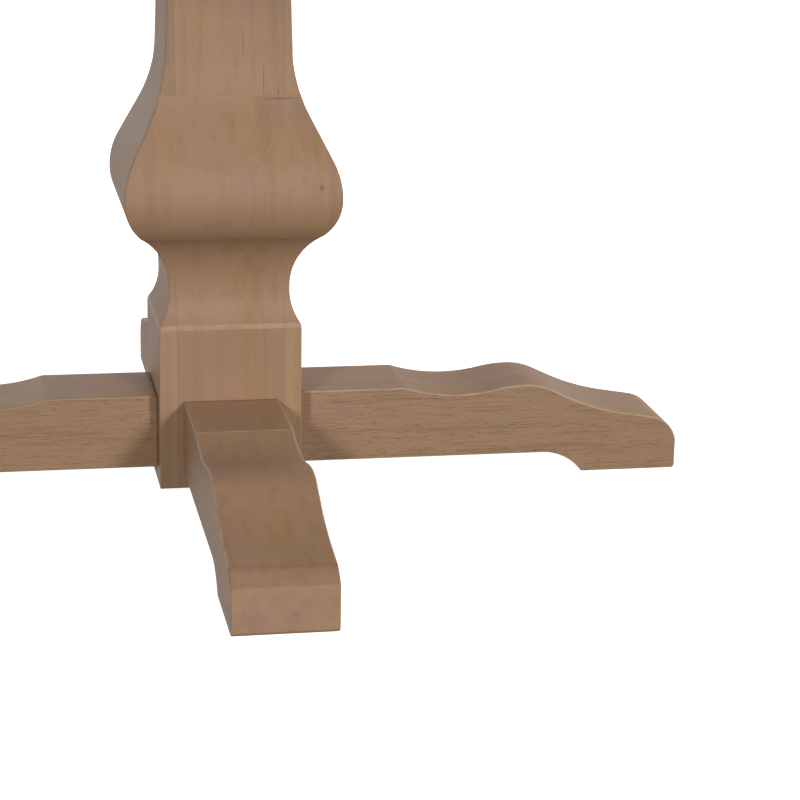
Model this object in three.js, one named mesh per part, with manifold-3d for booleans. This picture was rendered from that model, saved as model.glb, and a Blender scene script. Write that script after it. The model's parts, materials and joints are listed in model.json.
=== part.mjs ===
// A round dining table on a square, carved pedestal column with four shaped feet.
// Millimetres, +Z up. The origin is on the floor under the middle of the column, the top boards
// run along X, and the front foot points along -Y.
// The column is a hollow box of four staves held between the top and a foot block by a tie rod,
// with four mitred blocks glued on for the bulb. Each foot is bolted and dowelled to the column
// and stands on a levelling glide.

import * as THREE from 'three';
import { mergeVertices } from 'three/addons/utils/BufferGeometryUtils.js';
import Module from 'manifold-3d';

const wasm = await Module();
wasm.setup();

// ---------------------------------------------------------------- driving dimensions

const INCH = 25.4;
const GAP = 0.3; // left between pieces that touch
const ARC_STEP = 9; // degrees of arc for each facet of a moulded outline
const EASE_STEP = 30; // the same for a small eased edge

// Top
const TABLE_HEIGHT = 30 * INCH;
const TOP_RADIUS = 27 * INCH;
const TOP_THICKNESS = 38;
const TOP_EDGE_RADIUS = 6;
const TOP_BEVEL_WIDTH = 24;
const TOP_BEVEL_HEIGHT = 12;
const TOP_FACETS = 96;
const ROUND_FACETS = 16; // facets round a bolt, a washer or a bore
const BOARD_COUNT = 9;

// Framing under the top
const BEARER_WIDTH = 76;
const BEARER_HEIGHT = 45;
const BEARER_REACH = 500;
const BEARER_TIP_HEIGHT = 20;
const BEARER_TAPER_LENGTH = 220;
const BATTEN_PLACE = 560;
const BATTEN_REACH = 330;
const BATTEN_WIDTH = 64;
const BATTEN_HEIGHT = 22;
const BATTEN_CHAMFER = 14;

// Column, as half widths and heights above the floor
const COLUMN_BOTTOM = 7;
const BLANK_HALF = 3 * INCH;
const HOLLOW_HALF = 1.5 * INCH;
const RABBET_LIP = 19;
const PLINTH_TOP = 184.3;
const NECK_HALF = 64.5;
const LOWER_COVE_RADIUS = 61;
const UPPER_COVE_START = 225;
const UPPER_COVE_RADIUS = 72;
const ARRIS_HEIGHT = 284;
const BULB_HALF = 113.6;
const BULB_SEAT_HALF = 73.8; // the staves are planed back to this for the glued-on blocks
const BULB_HEIGHT = 326;
const SHOULDER_RADIUS = 89;
const SHOULDER_SLOPE = 26.6; // degrees off vertical
const SHOULDER_TOP = 408.3;
const SWEEP_RADIUS = 160;
const SHAFT_SLOPE = 1.8; // degrees off vertical
const SHAFT_TOP = 600;
const HEAD_COVE_RADIUS = 50;
const HEAD_BLOCK_LENGTH = 60;
const FOOT_BLOCK_BOTTOM = 24;
const FOOT_BLOCK_LENGTH = 22;

// Foot, as distances from the column's middle and heights above the floor
const FOOT_WIDTH = 4 * INCH;
const FOOT_TOP = 104;
const FOOT_UNDERSIDE = 24;
const FOOT_FLAT_END = 195;
const HOLLOW_PLACE = 255;
const HOLLOW_HEIGHT = 94.4;
const CREST_PLACE = 331;
const CREST_HEIGHT = 103;
const CREST_FRONT_RADIUS = 70;
const DROP_SLOPE = 25.5; // degrees off level
const DROP_START = 378;
const INSTEP_RADIUS = 252;
const TOE_SLOPE = 9.5; // degrees off level
const TOE_REACH = 506;
const TOE_RADIUS = 35;
const TOE_CORNER = 12; // degrees above level, where the rounding meets the upright end
const TOE_EASE = 4;
const PAD_BOTTOM = 0.6;
const ARCH_END = 352;
const ARCH_RADIUS = 56;

// Fastenings
const TIE_ROD_RADIUS = 6;
const TIE_ROD_CLEARANCE = 0.6;
const TIE_ROD_BOTTOM = 9;
const TIE_ROD_TOP = 722;
const TIE_NUT_ACROSS_FLATS = 19;
const TIE_NUT_HEIGHT = 10;
const TIE_WASHER_RADIUS = 16;
const TIE_WASHER_THICKNESS = 2.5;
const TIE_COUNTERBORE_DEPTH = 14;
const FOOT_BOLT_RADIUS = 5;
const FOOT_BOLT_HEIGHT = 76;
const FOOT_BOLT_INNER_END = 25;
const FOOT_BOLT_OUTER_END = 140;
const FOOT_NUT_ACROSS_FLATS = 17;
const FOOT_NUT_HEIGHT = 8;
const FOOT_WASHER_RADIUS = 11;
const FOOT_WASHER_THICKNESS = 2;
const DOWEL_RADIUS = 6;
const DOWEL_HEIGHT = 44;
const DOWEL_DEPTH = 26;
const SCREW_PLACE = 430;
const SCREW_RADIUS = 2.5;
const SCREW_HEAD_RADIUS = 5;
const SCREW_HEAD_HEIGHT = 3;
const SCREW_BITE = 22; // length of screw in the top board
const SCREW_RECESS = 5;

// Levelling glide
const GLIDE_PLACE = 452;
const GLIDE_PAD_RADIUS = 14;
const GLIDE_PAD_HEIGHT = 4;
const GLIDE_STEM_RADIUS = 4;
const GLIDE_STEM_TOP = 40;
const GLIDE_RECESS_RADIUS = 15.5;
const GLIDE_RECESS_TOP = 6;
const SLEEVE_RADIUS = 6;
const SLEEVE_BOTTOM = 7;
const SLEEVE_TOP = 32;
const SLEEVE_CLEARANCE = 0.1; // running clearance of the stem
const STEM_WELL_TOP = 46;

// ---------------------------------------------------------------- derived places

const TOP_UNDERSIDE = TABLE_HEIGHT - TOP_THICKNESS;
const COLUMN_TOP = TOP_UNDERSIDE - BEARER_HEIGHT;
const LAP_HEIGHT = COLUMN_TOP + BEARER_HEIGHT / 2;
const BOARD_WIDTH = 2 * TOP_RADIUS / BOARD_COUNT;
const FRONT_STAVE_HALF = BLANK_HALF - RABBET_LIP;
const QUARTERS = { front: 0, right: 1, back: 2, left: 3 };

// ---------------------------------------------------------------- finishes

function finish(color, roughness, metalness) {
  return new THREE.MeshStandardMaterial({ color, roughness, metalness });
}

const TOP_WOOD = finish(0xb08a66, 0.55, 0);
const BASE_WOOD = finish(0xa98564, 0.6, 0);
const INNER_WOOD = finish(0xc4a078, 0.7, 0);
const STEEL = finish(0x9fa3a8, 0.35, 1);
const NYLON = finish(0x3a332d, 0.5, 0);

// ---------------------------------------------------------------- outline helpers

function point(x, y) {
  return new THREE.Vector2(x, y);
}

// The point at a distance from a centre, in a direction given in degrees.
function pointAt(centre, radius, degrees) {
  const angle = THREE.MathUtils.degToRad(degrees);
  return point(centre.x + radius * Math.cos(angle), centre.y + radius * Math.sin(angle));
}

// Points along the shorter arc about a centre, from one point on the circle to another.
function arcBetween(centre, start, end, stepDegrees = ARC_STEP) {
  const radius = start.distanceTo(centre);
  const startAngle = Math.atan2(start.y - centre.y, start.x - centre.x);
  const endAngle = Math.atan2(end.y - centre.y, end.x - centre.x);
  const fullTurn = 2 * Math.PI;
  const sweep = THREE.MathUtils.euclideanModulo(endAngle - startAngle + Math.PI, fullTurn) - Math.PI;
  const steps = Math.max(2, Math.ceil(Math.abs(THREE.MathUtils.radToDeg(sweep)) / stepDegrees));
  const points = [start];
  for (let step = 1; step < steps; step += 1) {
    const angle = startAngle + sweep * step / steps;
    points.push(point(centre.x + radius * Math.cos(angle), centre.y + radius * Math.sin(angle)));
  }
  points.push(end);
  return points;
}

// ---------------------------------------------------------------- solid helpers

// An outline drawn in the plane of X and Z, extruded evenly to both sides along Y.
function slab(outline, width) {
  const geometry = new THREE.ExtrudeGeometry(new THREE.Shape(outline), { depth: width, bevelEnabled: false });
  return geometry.translate(0, 0, -width / 2).rotateX(Math.PI / 2);
}

// An outline drawn in the plane of X and Y, extruded up from one height to another.
function post(shape, bottom, top) {
  const settings = { depth: top - bottom, bevelEnabled: false, curveSegments: ROUND_FACETS / 2 };
  return new THREE.ExtrudeGeometry(shape, settings).translate(0, 0, bottom);
}

function box(low, high) {
  const geometry = new THREE.BoxGeometry(high[0] - low[0], high[1] - low[1], high[2] - low[2]);
  return geometry.translate((high[0] + low[0]) / 2, (high[1] + low[1]) / 2, (high[2] + low[2]) / 2);
}

// A round bar standing up from one height to another.
function bar(radius, bottom, top) {
  const geometry = new THREE.CylinderGeometry(radius, radius, top - bottom, ROUND_FACETS);
  return geometry.rotateX(Math.PI / 2).translate(0, 0, (top + bottom) / 2);
}

// A round bar lying along the front foot, between two distances from the column's middle.
function levelBar(radius, near, far, height) {
  return bar(radius, near, far).rotateX(Math.PI / 2).translate(0, 0, height);
}

function circle(radius) {
  const shape = new THREE.Shape();
  shape.absarc(0, 0, radius, 0, 2 * Math.PI, false);
  return shape;
}

function ring(innerRadius, outerRadius, bottom, top) {
  const shape = circle(outerRadius);
  shape.holes.push(circle(innerRadius));
  return post(shape, bottom, top);
}

function hexNut(acrossFlats, boreRadius, bottom, top) {
  const cornerRadius = acrossFlats / Math.sqrt(3);
  const corners = [0, 60, 120, 180, 240, 300].map((degrees) => pointAt(point(0, 0), cornerRadius, degrees));
  const shape = new THREE.Shape(corners);
  shape.holes.push(circle(boreRadius));
  return post(shape, bottom, top);
}

// ---------------------------------------------------------------- boolean helpers

function solidOf(source) {
  const bare = source.clone();
  bare.deleteAttribute('normal');
  bare.deleteAttribute('uv');
  const merged = mergeVertices(bare, 0.001);
  const corners = merged.index.array;
  const kept = [];
  for (let first = 0; first < corners.length; first += 3) {
    const [a, b, c] = corners.slice(first, first + 3);
    if (a !== b && b !== c && c !== a) {
      kept.push(a, b, c);
    }
  }
  return new wasm.Manifold(new wasm.Mesh({
    numProp: 3,
    vertProperties: new Float32Array(merged.attributes.position.array),
    triVerts: new Uint32Array(kept),
  }));
}

function geometryOf(solid) {
  const mesh = solid.getMesh();
  const geometry = new THREE.BufferGeometry();
  geometry.setAttribute('position', new THREE.BufferAttribute(new Float32Array(mesh.vertProperties), 3));
  geometry.setIndex(new THREE.BufferAttribute(new Uint32Array(mesh.triVerts), 1));
  return geometry;
}

function cut(geometry, ...tools) {
  let solid = solidOf(geometry);
  for (const tool of tools) {
    solid = solid.subtract(solidOf(tool));
  }
  return geometryOf(solid);
}

function common(geometry, ...others) {
  let solid = solidOf(geometry);
  for (const other of others) {
    solid = solid.intersect(solidOf(other));
  }
  return geometryOf(solid);
}

// ---------------------------------------------------------------- assembly helpers

const table = new THREE.Group();

function addPiece(name, geometry, material, quarterTurns = 0) {
  const mesh = new THREE.Mesh(geometry, material.clone());
  mesh.name = name;
  mesh.rotation.z = quarterTurns * Math.PI / 2;
  table.add(mesh);
}

// Adds one copy on each side of the column. The geometry is drawn for the front.
function addToEachSide(suffix, geometry, material) {
  for (const [side, quarterTurns] of Object.entries(QUARTERS)) {
    addPiece(`${side}_${suffix}`, geometry, material, quarterTurns);
  }
}

// ---------------------------------------------------------------- top

// The whole round top: a flat disc with a rounded upper edge and a bevel below.
function topDisc() {
  const edgeCentre = point(TOP_RADIUS - TOP_EDGE_RADIUS, TABLE_HEIGHT - TOP_EDGE_RADIUS);
  const rim = pointAt(edgeCentre, TOP_EDGE_RADIUS, 0);
  const brow = pointAt(edgeCentre, TOP_EDGE_RADIUS, 90);
  const profile = [
    point(0, TOP_UNDERSIDE),
    point(TOP_RADIUS - TOP_BEVEL_WIDTH, TOP_UNDERSIDE),
    point(TOP_RADIUS, TOP_UNDERSIDE + TOP_BEVEL_HEIGHT),
    ...arcBetween(edgeCentre, rim, brow, EASE_STEP),
    point(0, TABLE_HEIGHT),
  ];
  return new THREE.LatheGeometry(profile, TOP_FACETS).rotateX(Math.PI / 2);
}

// A hole for each bearer screw, drawn where the screw stands.
function screwPlaces() {
  return Object.values(QUARTERS).map((turns) => {
    const angle = turns * Math.PI / 2;
    return [SCREW_PLACE * Math.sin(angle), -SCREW_PLACE * Math.cos(angle)];
  });
}

function screwHoles(radius, bottom, top) {
  return screwPlaces().map(([x, y]) => bar(radius, bottom, top).translate(x, y, 0));
}

function addTop() {
  const disc = cut(topDisc(), ...screwHoles(SCREW_RADIUS + GAP, 0, TOP_UNDERSIDE + SCREW_BITE + GAP));
  for (let board = 0; board < BOARD_COUNT; board += 1) {
    const front = -TOP_RADIUS + board * BOARD_WIDTH;
    const back = front + BOARD_WIDTH;
    const frontGap = board === 0 ? 0 : GAP / 2;
    const backGap = board === BOARD_COUNT - 1 ? 0 : GAP / 2;
    const cell = box([-TOP_RADIUS, front + frontGap, 0], [TOP_RADIUS, back - backGap, TABLE_HEIGHT]);
    addPiece(`top_board_${board + 1}`, common(disc, cell), TOP_WOOD);
  }
}

// ---------------------------------------------------------------- framing under the top

// A bearer along X, level on top, with its underside rising towards both ends.
function bearer() {
  const low = COLUMN_TOP + GAP;
  const high = TOP_UNDERSIDE - GAP;
  const taperStart = BEARER_REACH - BEARER_TAPER_LENGTH;
  const outline = [
    point(-taperStart, low),
    point(taperStart, low),
    point(BEARER_REACH, high - BEARER_TIP_HEIGHT),
    point(BEARER_REACH, high),
    point(-BEARER_REACH, high),
    point(-BEARER_REACH, high - BEARER_TIP_HEIGHT),
  ];
  const tipRecess = TOP_UNDERSIDE - BEARER_TIP_HEIGHT + SCREW_RECESS;
  return cut(
    slab(outline, BEARER_WIDTH),
    bar(TIE_ROD_RADIUS + TIE_ROD_CLEARANCE, 0, TABLE_HEIGHT),
    ...screwHoles(SCREW_RADIUS + GAP, 0, TABLE_HEIGHT),
    ...screwHoles(SCREW_HEAD_RADIUS + 1, 0, tipRecess),
  );
}

// The notch that one bearer has for the other.
function lapNotch(bottom, top) {
  const half = BEARER_WIDTH / 2 + GAP;
  return box([-half, -BEARER_WIDTH, bottom], [half, BEARER_WIDTH, top]);
}

function batten() {
  const low = TOP_UNDERSIDE - BATTEN_HEIGHT;
  const high = TOP_UNDERSIDE - GAP;
  const outline = [
    point(-BATTEN_REACH + BATTEN_CHAMFER, low),
    point(BATTEN_REACH - BATTEN_CHAMFER, low),
    point(BATTEN_REACH, low + BATTEN_CHAMFER),
    point(BATTEN_REACH, high),
    point(-BATTEN_REACH, high),
    point(-BATTEN_REACH, low + BATTEN_CHAMFER),
  ];
  return slab(outline, BATTEN_WIDTH).rotateZ(Math.PI / 2);
}

function bearerScrew() {
  const headTop = TOP_UNDERSIDE - BEARER_TIP_HEIGHT + SCREW_RECESS - GAP;
  const headBottom = headTop - SCREW_HEAD_HEIGHT;
  const profile = [
    point(0, headBottom),
    point(SCREW_HEAD_RADIUS, headBottom),
    point(SCREW_HEAD_RADIUS, headTop),
    point(SCREW_RADIUS, headTop),
    point(SCREW_RADIUS, TOP_UNDERSIDE + SCREW_BITE - 2 * SCREW_RADIUS),
    point(0, TOP_UNDERSIDE + SCREW_BITE),
  ];
  const screw = new THREE.LatheGeometry(profile, ROUND_FACETS).rotateX(Math.PI / 2);
  return geometryOf(solidOf(screw)).translate(0, -SCREW_PLACE, 0);
}

function addFraming() {
  const counterbore = bar(TIE_WASHER_RADIUS + 2, TOP_UNDERSIDE - TIE_COUNTERBORE_DEPTH, TABLE_HEIGHT);
  const longBearer = cut(bearer(), lapNotch(LAP_HEIGHT, TABLE_HEIGHT));
  const crossBearer = cut(bearer(), lapNotch(0, LAP_HEIGHT + GAP), counterbore);
  addPiece('long_bearer', longBearer, INNER_WOOD);
  addPiece('cross_bearer', crossBearer, INNER_WOOD, 1);
  addPiece('left_batten', batten().translate(-BATTEN_PLACE, 0, 0), INNER_WOOD);
  addPiece('right_batten', batten().translate(BATTEN_PLACE, 0, 0), INNER_WOOD);
  addToEachSide('bearer_screw', bearerScrew(), STEEL);
}

// ---------------------------------------------------------------- column

// The right-hand outline of the column, from its bottom to its top, as half width and height.
function columnProfile() {
  const lowerCoveCentre = point(NECK_HALF + LOWER_COVE_RADIUS, 0);
  const lowerCoveRise = Math.sqrt(LOWER_COVE_RADIUS ** 2 - (lowerCoveCentre.x - BLANK_HALF) ** 2);
  lowerCoveCentre.y = PLINTH_TOP + lowerCoveRise;
  const upperCoveCentre = point(NECK_HALF + UPPER_COVE_RADIUS, UPPER_COVE_START);
  const arrisRise = ARRIS_HEIGHT - UPPER_COVE_START;
  const arris = point(upperCoveCentre.x - Math.sqrt(UPPER_COVE_RADIUS ** 2 - arrisRise ** 2), ARRIS_HEIGHT);

  const bulbStep = BULB_HALF - arris.x;
  const bulbRise = BULB_HEIGHT - ARRIS_HEIGHT;
  const bulbRadius = (bulbRise ** 2 + bulbStep ** 2) / (2 * bulbStep);
  const bulb = point(BULB_HALF, BULB_HEIGHT);
  const bulbCentre = point(BULB_HALF - bulbRadius, BULB_HEIGHT);
  const shoulderCentre = point(BULB_HALF - SHOULDER_RADIUS, BULB_HEIGHT);
  const shoulder = pointAt(shoulderCentre, SHOULDER_RADIUS, SHOULDER_SLOPE);

  const taperSlope = Math.tan(THREE.MathUtils.degToRad(SHOULDER_SLOPE));
  const taperTop = point(shoulder.x - taperSlope * (SHOULDER_TOP - shoulder.y), SHOULDER_TOP);
  const sweepCentre = pointAt(taperTop, SWEEP_RADIUS, SHOULDER_SLOPE);
  const shaftBottom = pointAt(sweepCentre, SWEEP_RADIUS, 180 + SHAFT_SLOPE);
  const shaftSlope = Math.tan(THREE.MathUtils.degToRad(SHAFT_SLOPE));
  const shaftTop = point(shaftBottom.x - shaftSlope * (SHAFT_TOP - shaftBottom.y), SHAFT_TOP);
  const headCoveCentre = point(shaftTop.x + HEAD_COVE_RADIUS, SHAFT_TOP);
  const headCoveRise = Math.sqrt(HEAD_COVE_RADIUS ** 2 - (headCoveCentre.x - BLANK_HALF) ** 2);

  return [
    point(BLANK_HALF, COLUMN_BOTTOM),
    ...arcBetween(lowerCoveCentre, point(BLANK_HALF, PLINTH_TOP), point(NECK_HALF, lowerCoveCentre.y)),
    ...arcBetween(upperCoveCentre, point(NECK_HALF, UPPER_COVE_START), arris),
    ...arcBetween(bulbCentre, arris, bulb).slice(1),
    ...arcBetween(shoulderCentre, bulb, shoulder).slice(1),
    ...arcBetween(sweepCentre, taperTop, shaftBottom),
    ...arcBetween(headCoveCentre, shaftTop, point(BLANK_HALF, SHAFT_TOP + headCoveRise)),
    point(BLANK_HALF, COLUMN_TOP),
  ];
}

// The whole column as one solid: the outline cut on the front and back, and on the two sides.
function columnSolid() {
  const right = columnProfile();
  const left = right.map(({ x, y }) => point(-x, y)).reverse();
  const facingFront = slab([...right, ...left], 4 * BULB_HALF);
  return common(facingFront, facingFront.clone().rotateZ(Math.PI / 2));
}

// The stave that fits between the rabbets of the two side staves.
function frontStaveCell(growth) {
  const half = FRONT_STAVE_HALF + growth;
  return box([-half, -BLANK_HALF - growth, 0], [half, -HOLLOW_HALF + growth, TABLE_HEIGHT]);
}

// The right-hand stave, turned to the front: full width, with a rabbet down each long edge.
function sideStave(column) {
  const cell = box([-BLANK_HALF, -BLANK_HALF, 0], [BLANK_HALF, -HOLLOW_HALF, TABLE_HEIGHT]);
  const rabbet = frontStaveCell(GAP).rotateZ(Math.PI / 2);
  return cut(common(column, cell), rabbet, rabbet.clone().rotateZ(Math.PI));
}

// What is planed off all round the staves to seat the blocks of the bulb.
function bulbSeat() {
  const outer = BULB_HALF + 1;
  const inner = BULB_SEAT_HALF;
  return cut(
    box([-outer, -outer, UPPER_COVE_START], [outer, outer, SHAFT_TOP]),
    box([-inner, -inner, UPPER_COVE_START], [inner, inner, SHAFT_TOP]),
  );
}

// The glued-on block that gives one side of the bulb, mitred at both ends.
function bulbBlock(column) {
  const inner = BULB_SEAT_HALF + GAP;
  const outer = BULB_HALF + 1;
  const mitreGap = GAP / Math.SQRT2;
  const wedge = new THREE.Shape([
    point(-outer + mitreGap, -outer),
    point(outer - mitreGap, -outer),
    point(inner - mitreGap, -inner),
    point(-inner + mitreGap, -inner),
  ]);
  return common(column, post(wedge, UPPER_COVE_START, SHAFT_TOP));
}

// Holes that each stave has for its foot's bolt and dowel.
function staveHoles() {
  return [
    levelBar(FOOT_BOLT_RADIUS + GAP, 0, BULB_HALF, FOOT_BOLT_HEIGHT),
    levelBar(DOWEL_RADIUS + GAP, BLANK_HALF - DOWEL_DEPTH - GAP, BULB_HALF, DOWEL_HEIGHT),
  ];
}

function hollowBlock(bottom, top) {
  const half = HOLLOW_HALF - GAP;
  const clearance = bar(TIE_ROD_RADIUS + TIE_ROD_CLEARANCE, 0, TABLE_HEIGHT);
  return cut(box([-half, -half, bottom], [half, half, top]), clearance);
}

function addColumn() {
  const column = columnSolid();
  const frontStave = cut(common(column, frontStaveCell(0)), bulbSeat(), ...staveHoles());
  const rightStave = cut(sideStave(column), bulbSeat(), ...staveHoles());
  addPiece('front_stave', frontStave, BASE_WOOD, QUARTERS.front);
  addPiece('right_stave', rightStave, BASE_WOOD, QUARTERS.right);
  addPiece('back_stave', frontStave, BASE_WOOD, QUARTERS.back);
  addPiece('left_stave', rightStave, BASE_WOOD, QUARTERS.left);
  addToEachSide('bulb_block', bulbBlock(column), BASE_WOOD);
  addPiece('column_head_block', hollowBlock(COLUMN_TOP - HEAD_BLOCK_LENGTH, COLUMN_TOP), INNER_WOOD);
  addPiece('column_foot_block', hollowBlock(FOOT_BLOCK_BOTTOM, FOOT_BLOCK_BOTTOM + FOOT_BLOCK_LENGTH), INNER_WOOD);
}

// ---------------------------------------------------------------- tie rod

function addTieRod() {
  const bore = TIE_ROD_RADIUS + GAP;
  const topSeat = TOP_UNDERSIDE - TIE_COUNTERBORE_DEPTH + GAP;
  const topNutSeat = topSeat + TIE_WASHER_THICKNESS + GAP;
  const bottomSeat = FOOT_BLOCK_BOTTOM - GAP;
  const bottomNutSeat = bottomSeat - TIE_WASHER_THICKNESS - GAP;
  addPiece('tie_rod', bar(TIE_ROD_RADIUS, TIE_ROD_BOTTOM, TIE_ROD_TOP), STEEL);
  addPiece('tie_rod_top_washer', ring(bore, TIE_WASHER_RADIUS, topSeat, topSeat + TIE_WASHER_THICKNESS), STEEL);
  addPiece('tie_rod_top_nut', hexNut(TIE_NUT_ACROSS_FLATS, bore, topNutSeat, topNutSeat + TIE_NUT_HEIGHT), STEEL);
  addPiece(
    'tie_rod_bottom_washer',
    ring(bore, TIE_WASHER_RADIUS, bottomSeat - TIE_WASHER_THICKNESS, bottomSeat),
    STEEL,
  );
  addPiece(
    'tie_rod_bottom_nut',
    hexNut(TIE_NUT_ACROSS_FLATS, bore, bottomNutSeat - TIE_NUT_HEIGHT, bottomNutSeat),
    STEEL,
  );
}

// ---------------------------------------------------------------- feet

// The top of a foot from the toe back to the column: instep, crest, hollow and flat.
function footTopLine() {
  const crest = point(CREST_PLACE, CREST_HEIGHT);
  const crestFrontCentre = point(CREST_PLACE, CREST_HEIGHT - CREST_FRONT_RADIUS);
  const crestEnd = pointAt(crestFrontCentre, CREST_FRONT_RADIUS, 90 - DROP_SLOPE);
  const dropFall = Math.tan(THREE.MathUtils.degToRad(DROP_SLOPE)) * (DROP_START - crestEnd.x);
  const dropStart = point(DROP_START, crestEnd.y - dropFall);
  const instepCentre = pointAt(dropStart, INSTEP_RADIUS, 90 - DROP_SLOPE);
  const instepEnd = pointAt(instepCentre, INSTEP_RADIUS, 270 - TOE_SLOPE);

  const toeSlope = THREE.MathUtils.degToRad(TOE_SLOPE);
  const toePlace = TOE_REACH - TOE_RADIUS * Math.cos(THREE.MathUtils.degToRad(TOE_CORNER));
  const toeLine = instepEnd.y - Math.tan(toeSlope) * (toePlace - instepEnd.x);
  const toeCentre = point(toePlace, toeLine - TOE_RADIUS / Math.cos(toeSlope));
  const toeTop = pointAt(toeCentre, TOE_RADIUS, 90 - TOE_SLOPE);
  const toeFace = pointAt(toeCentre, TOE_RADIUS, TOE_CORNER);

  // The hollow's arc starts at the end of the flat and is lowest at HOLLOW_PLACE. The arc behind
  // the crest is the one that meets it without a corner.
  const flatEnd = point(FOOT_FLAT_END, FOOT_TOP);
  const hollowDepth = FOOT_TOP - HOLLOW_HEIGHT;
  const hollowRadius = ((HOLLOW_PLACE - FOOT_FLAT_END) ** 2 + hollowDepth ** 2) / (2 * hollowDepth);
  const hollowCentre = point(HOLLOW_PLACE, HOLLOW_HEIGHT + hollowRadius);
  const across = CREST_PLACE - HOLLOW_PLACE;
  const down = hollowCentre.y - CREST_HEIGHT;
  const crestBackRadius = (across ** 2 + down ** 2 - hollowRadius ** 2) / (2 * (hollowRadius - down));
  const crestBackCentre = point(CREST_PLACE, CREST_HEIGHT - crestBackRadius);
  const share = hollowRadius / (hollowRadius + crestBackRadius);
  const meeting = hollowCentre.clone().lerp(crestBackCentre, share);

  return [
    ...arcBetween(toeCentre, toeFace, toeTop),
    ...arcBetween(instepCentre, instepEnd, dropStart),
    ...arcBetween(crestFrontCentre, crestEnd, crest),
    ...arcBetween(crestBackCentre, crest, meeting).slice(1),
    ...arcBetween(hollowCentre, meeting, flatEnd).slice(1),
  ];
}

// A foot's side outline, as distance from the column's middle and height.
function footOutline() {
  const heel = BLANK_HALF + GAP;
  const archCentre = point(ARCH_END, FOOT_UNDERSIDE - ARCH_RADIUS);
  const archReach = Math.sqrt(ARCH_RADIUS ** 2 - (PAD_BOTTOM - archCentre.y) ** 2);
  const padHeel = point(ARCH_END + archReach, PAD_BOTTOM);
  const easeCentre = point(TOE_REACH - TOE_EASE, PAD_BOTTOM + TOE_EASE);
  return [
    point(heel, FOOT_UNDERSIDE),
    ...arcBetween(archCentre, point(ARCH_END, FOOT_UNDERSIDE), padHeel),
    ...arcBetween(easeCentre, pointAt(easeCentre, TOE_EASE, 270), pointAt(easeCentre, TOE_EASE, 0), EASE_STEP),
    ...footTopLine(),
    point(heel, FOOT_TOP),
  ];
}

// The front foot with its bores: bolt and dowel from the heel, glide from below.
function foot() {
  const blank = slab(footOutline(), FOOT_WIDTH).rotateZ(-Math.PI / 2);
  const glideBores = [
    bar(GLIDE_RECESS_RADIUS, 0, GLIDE_RECESS_TOP),
    bar(SLEEVE_RADIUS + GAP, 0, SLEEVE_TOP + GAP),
    bar(GLIDE_STEM_RADIUS + GAP, 0, STEM_WELL_TOP),
  ];
  return cut(
    blank,
    levelBar(FOOT_BOLT_RADIUS + GAP, 0, FOOT_BOLT_OUTER_END + GAP, FOOT_BOLT_HEIGHT),
    levelBar(DOWEL_RADIUS + GAP, 0, BLANK_HALF + DOWEL_DEPTH + GAP, DOWEL_HEIGHT),
    ...glideBores.map((bore) => bore.translate(0, -GLIDE_PLACE, 0)),
  );
}

// A washer or nut that is drawn standing on the floor, laid along a foot bolt.
function onFootBolt(geometry) {
  return geometry.rotateX(Math.PI / 2).translate(0, 0, FOOT_BOLT_HEIGHT);
}

function addFeet() {
  const bore = FOOT_BOLT_RADIUS + GAP;
  const washerFar = HOLLOW_HALF - GAP;
  const washerNear = washerFar - FOOT_WASHER_THICKNESS;
  const nutFar = washerNear - GAP;
  const washer = ring(bore, FOOT_WASHER_RADIUS, washerNear, washerFar);
  const nut = hexNut(FOOT_NUT_ACROSS_FLATS, bore, nutFar - FOOT_NUT_HEIGHT, nutFar);
  const bolt = levelBar(FOOT_BOLT_RADIUS, FOOT_BOLT_INNER_END, FOOT_BOLT_OUTER_END, FOOT_BOLT_HEIGHT);
  const dowel = levelBar(DOWEL_RADIUS, BLANK_HALF - DOWEL_DEPTH, BLANK_HALF + DOWEL_DEPTH, DOWEL_HEIGHT);
  addToEachSide('foot', foot(), BASE_WOOD);
  addToEachSide('foot_bolt', bolt, STEEL);
  addToEachSide('foot_washer', onFootBolt(washer), STEEL);
  addToEachSide('foot_nut', onFootBolt(nut), STEEL);
  addToEachSide('foot_dowel', dowel, INNER_WOOD);
}

// ---------------------------------------------------------------- levelling glides

// A nylon-soled levelling glide: a flat pad on a threaded stem, drawn fully screwed in.
function glide() {
  const profile = [
    point(0, 0),
    point(GLIDE_PAD_RADIUS - 1, 0),
    point(GLIDE_PAD_RADIUS, 1),
    point(GLIDE_PAD_RADIUS, GLIDE_PAD_HEIGHT),
    point(GLIDE_STEM_RADIUS, GLIDE_PAD_HEIGHT),
    point(GLIDE_STEM_RADIUS, GLIDE_STEM_TOP),
    point(0, GLIDE_STEM_TOP),
  ];
  const turned = new THREE.LatheGeometry(profile, ROUND_FACETS).rotateX(Math.PI / 2);
  return geometryOf(solidOf(turned)).translate(0, -GLIDE_PLACE, 0);
}

function addGlides() {
  const sleeve = ring(GLIDE_STEM_RADIUS + SLEEVE_CLEARANCE, SLEEVE_RADIUS, SLEEVE_BOTTOM, SLEEVE_TOP);
  addToEachSide('glide_sleeve', sleeve.translate(0, -GLIDE_PLACE, 0), STEEL);
  addToEachSide('glide', glide(), NYLON);
}

addTop();
addFraming();
addColumn();
addTieRod();
addFeet();
addGlides();

export default table;
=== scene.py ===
"""The looks of the round pedestal table: its wood, hardware, floor, light and camera.

Metres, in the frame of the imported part: +Z up, origin on the floor under the column, front foot
towards -Y. Every wooden piece is built here with fine curves and eased edges in the place of its
CAD node, and carries a "grain" attribute: its own coordinates with x along the grain, which the
wood materials read.
"""

import json
import math
import random

import bmesh
import bpy
from mathutils import Matrix, Vector


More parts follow.
